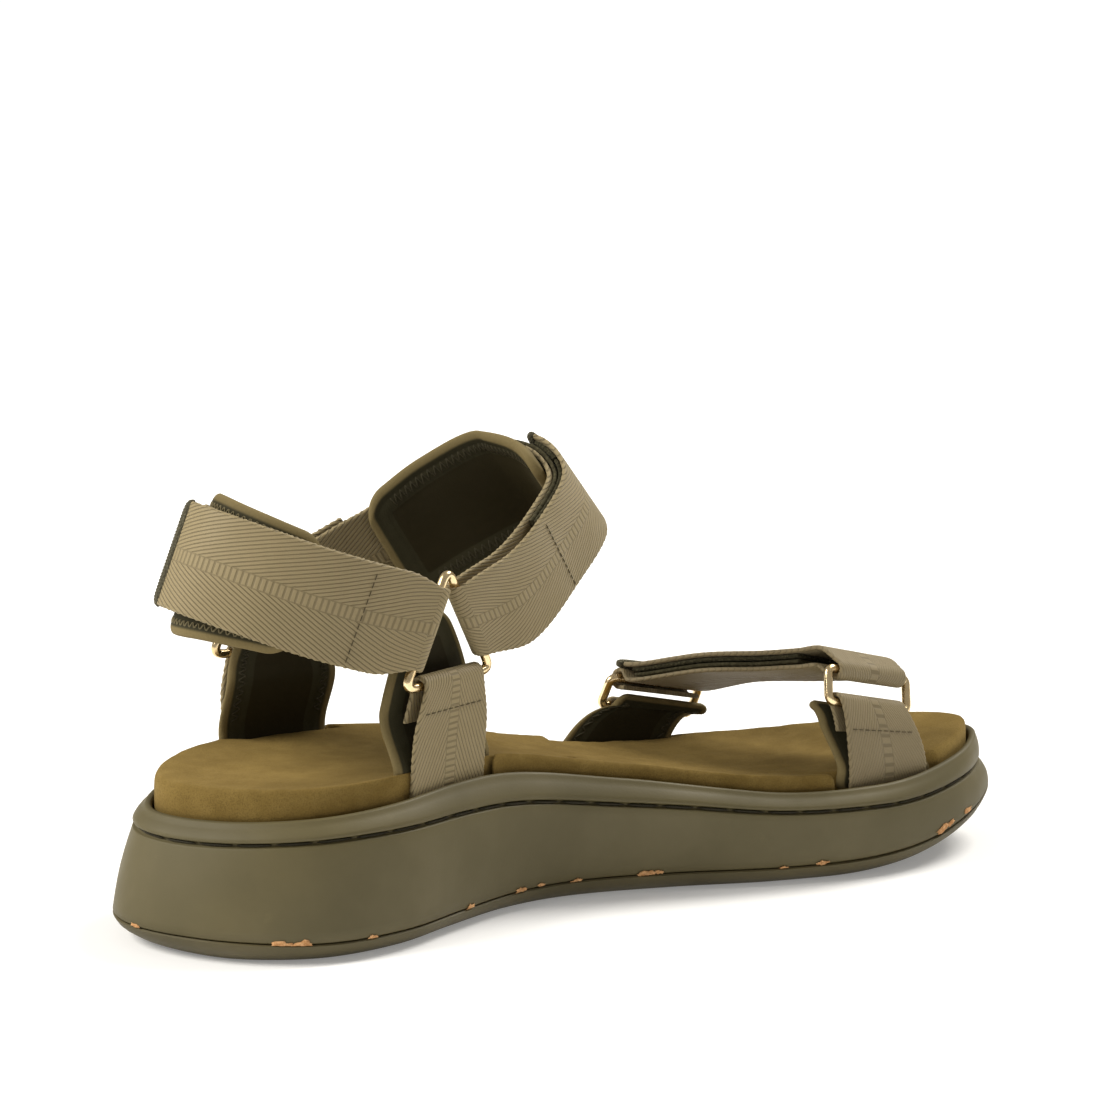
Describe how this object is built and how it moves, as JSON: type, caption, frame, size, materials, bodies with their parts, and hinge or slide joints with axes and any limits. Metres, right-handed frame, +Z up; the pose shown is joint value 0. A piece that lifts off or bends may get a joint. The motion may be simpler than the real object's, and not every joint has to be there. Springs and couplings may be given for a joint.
{
  "type": "strappy sport sandal",
  "caption": "Open sport sandal with a thick sole, a suede footbed and webbing straps at heel, instep and toes that turn back through metal rings and close with hook and loop.",
  "frame": {"origin": "centre of the bounding box on the ground plane under the sole", "axes": "+Z up from the ground, +Y towards the toe, +X towards the inner (medial) side of the left foot"},
  "size_m": [0.089, 0.2692, 0.1276],
  "materials": {
    "sole": "matte",
    "foam": "matte",
    "board": "matte",
    "suede": "matte",
    "thread": "matte",
    "webbing": "satin",
    "neoprene": "matte",
    "hook_and_loop": "matte",
    "binding": "matte",
    "ring": "polished"
  },
  "bodies": {
    "sandal": {"outsole": "sole", "midsole": "sole", "sidewall_thread": "thread", "insole_board": "board", "footbed_core": "foam", "footbed_cover": "suede", "medial_ankle_ring": "ring", "lateral_ankle_ring": "ring", "medial_toe_ring": "ring", "lateral_toe_ring": "ring", "medial_ankle_loop": "webbing", "lateral_ankle_loop": "webbing", "medial_toe_loop": "webbing", "lateral_toe_loop": "webbing", "medial_ankle_lining": "neoprene", "lateral_ankle_lining": "neoprene", "medial_toe_lining": "neoprene", "lateral_toe_lining": "neoprene", "heel_strap_webbing": "webbing", "heel_strap_pad": "neoprene", "heel_loop_patch": "hook_and_loop", "instep_strap_webbing": "webbing", "instep_strap_pad": "neoprene", "instep_loop_patch": "hook_and_loop", "toe_strap_webbing": "webbing", "toe_loop_patch": "hook_and_loop"},
    "heel_flap": {"heel_free_end": "webbing", "heel_free_end_hooks": "hook_and_loop"},
    "heel_flap_tip": {"heel_free_tip": "webbing", "heel_free_tip_hooks": "hook_and_loop", "heel_tip_binding": "binding"},
    "instep_flap": {"instep_free_end": "webbing", "instep_free_end_hooks": "hook_and_loop"},
    "instep_flap_tip": {"instep_free_tip": "webbing", "instep_free_tip_hooks": "hook_and_loop", "instep_tip_binding": "binding"},
    "toe_flap": {"toe_free_end": "webbing", "toe_free_end_hooks": "hook_and_loop", "toe_tip_binding": "binding"}
  },
  "joints": [
    {"name": "heel_flap_open", "type": "hinge", "parent": "sandal", "child": "heel_flap", "pos_m": [0.02979, -0.05779, 0.08366], "axis": [-0.19, 0.4625, 0.866], "range_deg": [0, 60]},
    {"name": "heel_flap_curl", "type": "hinge", "parent": "heel_flap", "child": "heel_flap_tip", "pos_m": [0.02295, -0.09668, 0.0966], "axis": [0.0032, 0.3629, 0.9318], "range_deg": [0, 45]},
    {"name": "instep_flap_open", "type": "hinge", "parent": "sandal", "child": "instep_flap", "pos_m": [0.02314, -0.0416, 0.08366], "axis": [-0.19, 0.4625, -0.866], "range_deg": [0, 50]},
    {"name": "instep_flap_curl", "type": "hinge", "parent": "instep_flap", "child": "instep_flap_tip", "pos_m": [-0.00101, 0.00693, 0.11187], "axis": [-0.2389, 0.6315, -0.7377], "range_deg": [0, 80]},
    {"name": "toe_flap_open", "type": "hinge", "parent": "sandal", "child": "toe_flap", "pos_m": [0.02902, 0.0828, 0.0564], "axis": [-0.1401, 0.9606, -0.2401], "range_deg": [0, 120]}
  ],
  "couplings": [
    {"joint": "heel_flap_curl", "follows": "heel_flap_open", "ratio": 0.75},
    {"joint": "instep_flap_curl", "follows": "instep_flap_open", "ratio": 1.6}
  ]
}
